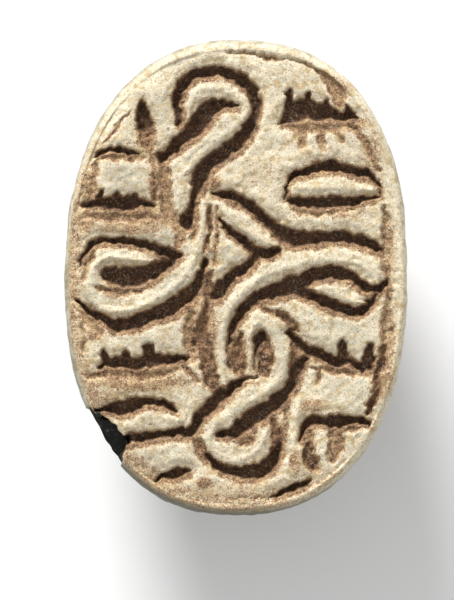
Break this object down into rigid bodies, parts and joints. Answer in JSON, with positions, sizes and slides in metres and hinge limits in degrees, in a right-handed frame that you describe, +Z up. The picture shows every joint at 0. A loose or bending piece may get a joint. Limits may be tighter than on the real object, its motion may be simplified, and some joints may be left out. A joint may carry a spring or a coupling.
{
  "type": "scarab seal",
  "caption": "Oval stone scarab seal lying on the beetle's back, its flat base carved with sunk scrolls, ropes and toothed bars inside a thin border.",
  "frame": {"origin": "middle of the seal's bounding box at the ground, under the crest of the beetle's back", "axes": "+Z up out of the carved face, +Y along the length towards the beetle's head, +X across the face"},
  "size_m": [0.013, 0.018, 0.008],
  "materials": {
    "stone": "worn pale glazed steatite, cream with grey-green patches, brown dirt in the sunk carving"
  },
  "bodies": {
    "root": {"scarab": "stone"}
  },
  "joints": []
}
